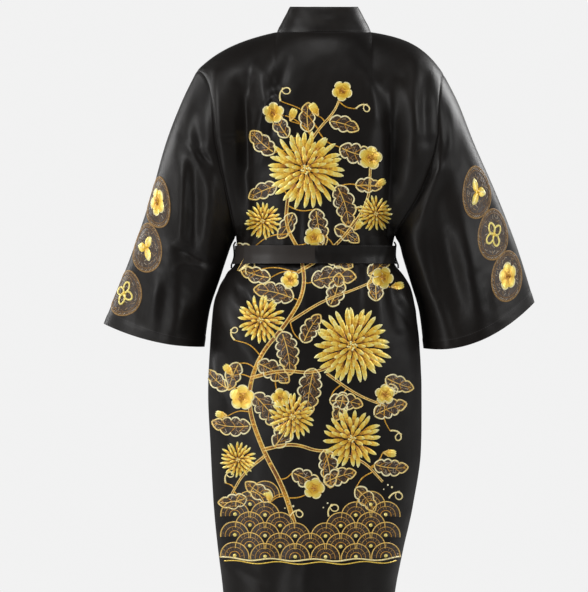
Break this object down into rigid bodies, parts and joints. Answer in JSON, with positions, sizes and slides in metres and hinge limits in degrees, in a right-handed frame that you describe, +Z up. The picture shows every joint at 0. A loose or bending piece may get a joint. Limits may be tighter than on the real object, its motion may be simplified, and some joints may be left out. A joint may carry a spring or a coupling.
{
  "type": "kimono robe",
  "caption": "Wrap robe of kimono cut with wide three-quarter sleeves, a standing neckband and a tied belt, worn and hollow.",
  "frame": {"origin": "between the shoulders, in the middle of the neck opening and level with the base of the neckband", "axes": "+Z up, -Y towards the front of the robe, +X towards the wearer's left"},
  "size_m": [0.841, 0.2689, 1.2183],
  "materials": {
    "satin": "smooth black satin with a soft sheen",
    "band_satin": "doubled black satin, pressed flat and edge-stitched",
    "gold_thread": "glossy gold satin stitch",
    "pale_thread": "pale gold couched cord",
    "brown_thread": "bronze and grey-brown filling stitch",
    "sewing_thread": "black sewing thread"
  },
  "bodies": {
    "root": {"back": "satin", "front_left": "satin", "front_right": "satin", "sleeve_left": "satin", "sleeve_right": "satin", "neckband": "band_satin", "belt": "band_satin", "belt_knot": "band_satin", "belt_end_left": "band_satin", "belt_end_right": "band_satin", "belt_loop_left": "band_satin", "belt_loop_right": "band_satin"}
  },
  "joints": []
}
